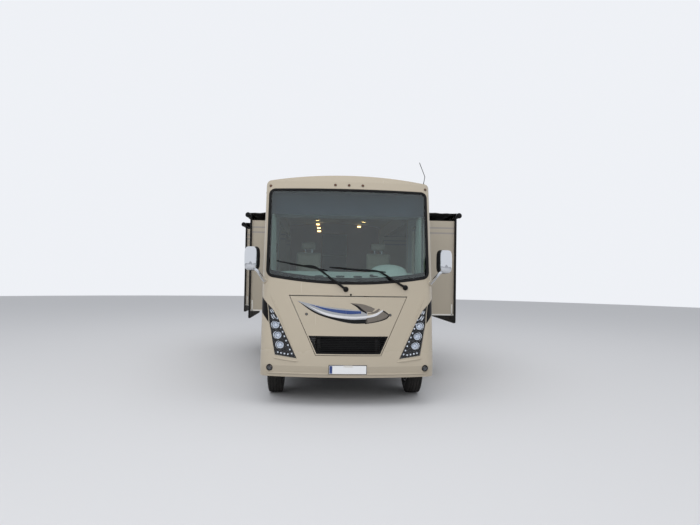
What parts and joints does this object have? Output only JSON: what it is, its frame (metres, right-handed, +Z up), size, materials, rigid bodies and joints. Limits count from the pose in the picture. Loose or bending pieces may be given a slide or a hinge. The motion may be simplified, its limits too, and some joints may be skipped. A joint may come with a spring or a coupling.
{
  "type": "motorhome",
  "caption": "Full-size class A motorhome coach with slide-out rooms, opening hood, entry and locker doors, steering front wheels and rolling twin rear wheels.",
  "frame": {"origin": "on the ground under the middle of the vehicle's length and width", "axes": "+X to the vehicle's left, +Y to its rear, +Z up; the front faces -Y"},
  "size_m": [4.45, 9.9228, 3.69],
  "materials": {
    "front_cap": "gloss paint",
    "windshield": "clear",
    "left_wall": "gloss paint",
    "right_wall": "gloss paint",
    "rear_wall": "gloss paint",
    "roof": "satin",
    "floor": "satin",
    "coach_glass": "tinted",
    "headlamps": "gloss",
    "headlamp_lenses": "clear",
    "corner_trims": "gloss",
    "marker_lamps": "gloss",
    "tail_lamps": "gloss",
    "wipers": "matte",
    "mirrors": "polished",
    "dashboard": "matte",
    "steering_wheel": "satin",
    "cab_seats": "satin",
    "interior_panels": "satin",
    "chassis_frame": "satin",
    "engine": "cast",
    "tanks": "matte",
    "exhaust": "dull",
    "front_axle": "painted",
    "rear_axle": "painted",
    "leaf_springs": "satin",
    "prop_shaft": "satin",
    "ladder": "satin",
    "roof_units": "satin",
    "lockers": "matte",
    "entry_steps": "matte",
    "topper_fabrics": "woven",
    "hood": "gloss paint",
    "grille": "matte",
    "entry_door": "gloss paint",
    "entry_door_glass": "tinted",
    "left_front_bay_door": "gloss paint",
    "left_rear_bay_door": "gloss paint",
    "right_front_bay_door": "gloss paint",
    "right_rear_bay_door": "gloss paint",
    "left_slide": "gloss paint",
    "left_slide_glass": "tinted",
    "left_slide_topper": "satin",
    "right_front_slide": "gloss paint",
    "right_front_slide_glass": "tinted",
    "right_front_slide_topper": "satin",
    "right_rear_slide": "gloss paint",
    "right_rear_slide_topper": "satin",
    "left_knuckle": "painted",
    "right_knuckle": "painted",
    "track_rod": "satin",
    "front_left_rim": "gloss paint",
    "front_left_tyre": "matte",
    "front_right_rim": "gloss paint",
    "front_right_tyre": "matte",
    "rear_left_rims": "gloss paint",
    "rear_left_tyres": "matte",
    "rear_right_rims": "gloss paint",
    "rear_right_tyres": "matte"
  },
  "bodies": {
    "coach": {"front_cap": "front_cap", "windshield": "windshield", "left_wall": "left_wall", "right_wall": "right_wall", "rear_wall": "rear_wall", "roof": "roof", "floor": "floor", "coach_glass": "coach_glass", "headlamps": "headlamps", "headlamp_lenses": "headlamp_lenses", "corner_trims": "corner_trims", "marker_lamps": "marker_lamps", "tail_lamps": "tail_lamps", "wipers": "wipers", "mirrors": "mirrors", "dashboard": "dashboard", "steering_wheel": "steering_wheel", "cab_seats": "cab_seats", "interior_panels": "interior_panels", "chassis_frame": "chassis_frame", "engine": "engine", "tanks": "tanks", "exhaust": "exhaust", "front_axle": "front_axle", "rear_axle": "rear_axle", "leaf_springs": "leaf_springs", "prop_shaft": "prop_shaft", "ladder": "ladder", "roof_units": "roof_units", "lockers": "lockers", "entry_steps": "entry_steps", "topper_fabrics": "topper_fabrics"},
    "hood": {"hood": "hood", "grille": "grille"},
    "entry_door": {"entry_door": "entry_door", "entry_door_glass": "entry_door_glass"},
    "left_front_bay_door": {"left_front_bay_door": "left_front_bay_door"},
    "left_rear_bay_door": {"left_rear_bay_door": "left_rear_bay_door"},
    "right_front_bay_door": {"right_front_bay_door": "right_front_bay_door"},
    "right_rear_bay_door": {"right_rear_bay_door": "right_rear_bay_door"},
    "left_slide": {"left_slide": "left_slide", "left_slide_glass": "left_slide_glass", "left_slide_topper": "left_slide_topper"},
    "right_front_slide": {"right_front_slide": "right_front_slide", "right_front_slide_glass": "right_front_slide_glass", "right_front_slide_topper": "right_front_slide_topper"},
    "right_rear_slide": {"right_rear_slide": "right_rear_slide", "right_rear_slide_topper": "right_rear_slide_topper"},
    "left_knuckle": {"left_knuckle": "left_knuckle"},
    "right_knuckle": {"right_knuckle": "right_knuckle"},
    "track_rod": {"track_rod": "track_rod"},
    "front_left_wheel": {"front_left_rim": "front_left_rim", "front_left_tyre": "front_left_tyre"},
    "front_right_wheel": {"front_right_rim": "front_right_rim", "front_right_tyre": "front_right_tyre"},
    "rear_left_wheels": {"rear_left_rims": "rear_left_rims", "rear_left_tyres": "rear_left_tyres"},
    "rear_right_wheels": {"rear_right_rims": "rear_right_rims", "rear_right_tyres": "rear_right_tyres"}
  },
  "joints": [
    {"name": "hood_hinge", "type": "hinge", "parent": "coach", "child": "hood", "pos_m": [0, -4.70445, 1.615], "axis": [-1, 0, 0], "range_deg": [0, 45]},
    {"name": "entry_door_hinge", "type": "hinge", "parent": "coach", "child": "entry_door", "pos_m": [-1.278, -2.894, 1.45], "axis": [0, 0, 1], "range_deg": [0, 110]},
    {"name": "left_front_bay_hinge", "type": "hinge", "parent": "coach", "child": "left_front_bay_door", "pos_m": [1.278, -1.954, 0.7], "axis": [0, 0, -1], "range_deg": [0, 100]},
    {"name": "left_rear_bay_hinge", "type": "hinge", "parent": "coach", "child": "left_rear_bay_door", "pos_m": [1.278, -0.354, 0.7], "axis": [0, 0, -1], "range_deg": [0, 100]},
    {"name": "right_front_bay_hinge", "type": "hinge", "parent": "coach", "child": "right_front_bay_door", "pos_m": [-1.278, -1.954, 0.7], "axis": [0, 0, 1], "range_deg": [0, 100]},
    {"name": "right_rear_bay_hinge", "type": "hinge", "parent": "coach", "child": "right_rear_bay_door", "pos_m": [-1.278, -0.354, 0.7], "axis": [0, 0, 1], "range_deg": [0, 100]},
    {"name": "left_slide_travel", "type": "slide", "parent": "coach", "child": "left_slide", "axis": [-1, 0, 0], "range_m": [0, 0.82], "deforming": ["topper_fabrics"]},
    {"name": "right_front_slide_travel", "type": "slide", "parent": "coach", "child": "right_front_slide", "axis": [1, 0, 0], "range_m": [0, 0.473]},
    {"name": "right_rear_slide_travel", "type": "slide", "parent": "coach", "child": "right_rear_slide", "axis": [1, 0, 0], "range_m": [0, 0.82]},
    {"name": "left_steer", "type": "hinge", "parent": "coach", "child": "left_knuckle", "pos_m": [0.93, -3.9, 0.475], "axis": [0, 0, 1], "range_deg": [-40, 40]},
    {"name": "right_steer", "type": "hinge", "parent": "coach", "child": "right_knuckle", "pos_m": [-0.93, -3.9, 0.475], "axis": [0, 0, 1], "range_deg": [-40, 40]},
    {"name": "track_rod_travel", "type": "slide", "parent": "coach", "child": "track_rod", "axis": [1, 0, 0], "range_m": [-0.14, 0.14]},
    {"name": "front_left_wheel_spin", "type": "hinge", "parent": "left_knuckle", "child": "front_left_wheel", "pos_m": [1.08, -3.9, 0.475], "axis": [1, 0, 0], "continuous": true},
    {"name": "front_right_wheel_spin", "type": "hinge", "parent": "right_knuckle", "child": "front_right_wheel", "pos_m": [-1.08, -3.9, 0.475], "axis": [1, 0, 0], "continuous": true},
    {"name": "rear_left_wheels_spin", "type": "hinge", "parent": "coach", "child": "rear_left_wheels", "pos_m": [0.95, 1.89, 0.475], "axis": [1, 0, 0], "continuous": true},
    {"name": "rear_right_wheels_spin", "type": "hinge", "parent": "coach", "child": "rear_right_wheels", "pos_m": [-0.95, 1.89, 0.475], "axis": [1, 0, 0], "continuous": true}
  ],
  "couplings": [
    {"joint": "right_steer", "follows": "left_steer", "ratio": 1},
    {"joint": "track_rod_travel", "follows": "left_steer", "m_per_rad": -0.2}
  ]
}
